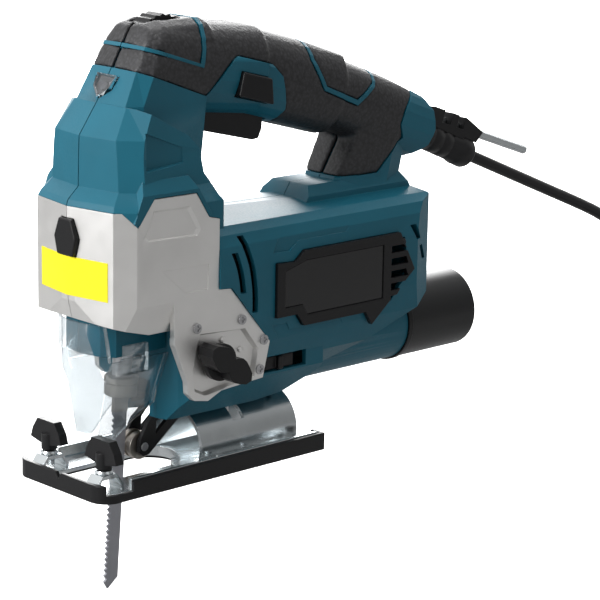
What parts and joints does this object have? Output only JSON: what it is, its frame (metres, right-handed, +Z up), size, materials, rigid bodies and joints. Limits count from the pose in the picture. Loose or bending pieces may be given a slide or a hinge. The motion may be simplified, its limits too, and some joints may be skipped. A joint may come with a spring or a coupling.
{
  "type": "jigsaw",
  "caption": "Hand-held electric jigsaw with a closed handle, pendulum action, die-cast gear cover, tilting sole, dust pipe and mains cord.",
  "frame": {"origin": "on the sole's underside, on the centre plane, where the blade's line meets it", "axes": "+X to the rear, where dust pipe and cord leave; +Y to the saw's right side; +Z up from the sole to the handle"},
  "size_m": [0.476, 0.1145, 0.264],
  "materials": {
    "teal_abs": "satin",
    "grip_rubber": "matte",
    "cast_alloy": "satin cast",
    "badge_plastic": "gloss",
    "clear_plastic": "clear",
    "led_board": "matte",
    "black_plastic": "satin",
    "board_green": "matte",
    "ground_steel": "ground",
    "zinc_steel": "zinc plated",
    "laminated_iron": "matte",
    "bronze": "satin",
    "carbon": "matte",
    "cord_rubber": "satin",
    "clamp_plastic": "matte"
  },
  "bodies": {
    "body": {"left_housing": "teal_abs", "right_housing": "teal_abs", "left_grip": "grip_rubber", "right_grip": "grip_rubber", "left_gear_cover": "cast_alloy", "right_gear_cover": "cast_alloy", "left_badge": "badge_plastic", "right_badge": "badge_plastic", "light_window": "clear_plastic", "light_module": "led_board", "control_board": "board_green", "trigger_pin": "ground_steel", "switch_block": "black_plastic", "dust_pipe": "black_plastic", "dust_ring": "black_plastic", "blade_guard": "clear_plastic", "stator": "laminated_iron", "front_bearing": "ground_steel", "rear_bearing": "ground_steel", "carbon_brushes": "carbon", "brush_holders": "bronze", "bearing_plate": "cast_alloy", "gear_pin": "ground_steel", "upper_bush": "bronze", "lower_bush": "bronze", "fork_pin": "ground_steel", "bevel_screw": "ground_steel", "housing_screws": "ground_steel", "cover_screws": "ground_steel", "cord_sleeve": "cord_rubber", "cord_clamp": "clamp_plastic", "key_holder": "black_plastic", "cord": "cord_rubber", "cord_coil": "cord_rubber", "plug": "cord_rubber"},
    "trigger": {"trigger": "black_plastic"},
    "lock_button": {"lock_button": "black_plastic"},
    "front_button": {"front_button": "black_plastic"},
    "speed_dial": {"speed_dial": "black_plastic"},
    "pendulum_knob": {"pendulum_knob": "black_plastic", "pendulum_shaft": "ground_steel"},
    "blower_slider": {"blower_slider": "black_plastic"},
    "armature": {"armature_core": "laminated_iron", "armature_shaft": "ground_steel", "commutator": "bronze", "cooling_fan": "black_plastic"},
    "drive_gear": {"drive_gear": "ground_steel"},
    "plunger": {"plunger": "ground_steel", "blade_clamp": "ground_steel", "blade": "ground_steel"},
    "fork": {"roller_fork": "black_plastic", "roller_pin": "ground_steel"},
    "guide_roller": {"guide_roller": "ground_steel"},
    "sole": {"base_plate": "zinc_steel", "shoe_cover": "black_plastic", "tilt_bracket": "zinc_steel", "guide_clamps": "zinc_steel"},
    "left_wing": {"left_wing_screw": "black_plastic"},
    "right_wing": {"right_wing_screw": "black_plastic"},
    "hex_key": {"hex_key": "ground_steel"}
  },
  "joints": [
    {"name": "trigger_press", "type": "hinge", "parent": "body", "child": "trigger", "pos_m": [0.04, 0, 0.1645], "axis": [0, -1, 0], "range_deg": [0, 7], "stiffness_Nm_per_rad": 0.5, "springref_deg": -3.44},
    {"name": "lock_press", "type": "slide", "parent": "body", "child": "lock_button", "axis": [0, 1, 0], "range_m": [0, 0.003], "stiffness_N_per_m": 300, "springref_m": -0.001},
    {"name": "front_press", "type": "slide", "parent": "body", "child": "front_button", "axis": [1, 0, 0], "range_m": [0, 0.001], "stiffness_N_per_m": 500, "springref_m": -0.0005},
    {"name": "dial_turn", "type": "hinge", "parent": "body", "child": "speed_dial", "pos_m": [0.0215, 0, 0.194], "axis": [0, 1, 0], "range_deg": [-135, 135]},
    {"name": "pendulum_turn", "type": "hinge", "parent": "body", "child": "pendulum_knob", "pos_m": [0.0305, -0.034, 0.055], "axis": [0, 1, 0], "range_deg": [0, 135]},
    {"name": "blower_slide", "type": "slide", "parent": "body", "child": "blower_slider", "axis": [1, 0, 0], "range_m": [0, 0.006]},
    {"name": "armature_spin", "type": "hinge", "parent": "body", "child": "armature", "pos_m": [0.08, 0, 0.08], "axis": [1, 0, 0], "continuous": true},
    {"name": "gear_spin", "type": "hinge", "parent": "body", "child": "drive_gear", "pos_m": [0.022, 0, 0.107], "axis": [1, 0, 0], "continuous": true},
    {"name": "plunger_stroke", "type": "slide", "parent": "body", "child": "plunger", "axis": [0.0698, 0, 0.9976], "range_m": [0, 0.02]},
    {"name": "fork_swing", "type": "hinge", "parent": "body", "child": "fork", "pos_m": [0.033, 0, 0.03], "axis": [0, -1, 0], "range_deg": [0, 4]},
    {"name": "roller_spin", "type": "hinge", "parent": "fork", "child": "guide_roller", "pos_m": [0.0106, 0, 0.0128], "axis": [0, 1, 0], "continuous": true},
    {"name": "bevel_tilt", "type": "hinge", "parent": "body", "child": "sole", "pos_m": [0.06, 0, 0.008], "axis": [1, 0, 0], "range_deg": [-45, 45]},
    {"name": "left_wing_turn", "type": "hinge", "parent": "sole", "child": "left_wing", "pos_m": [-0.0235, -0.0195, 0.015], "axis": [0, 0, 1], "range_deg": [-180, 180]},
    {"name": "right_wing_turn", "type": "hinge", "parent": "sole", "child": "right_wing", "pos_m": [-0.0235, 0.0195, 0.015], "axis": [0, 0, 1], "range_deg": [-180, 180]},
    {"name": "key_pull", "type": "slide", "parent": "body", "child": "hex_key", "axis": [0.9455, 0, -0.3256], "range_m": [0, 0.045]}
  ],
  "couplings": [
    {"joint": "gear_spin", "follows": "armature_spin", "ratio": -0.2}
  ]
}
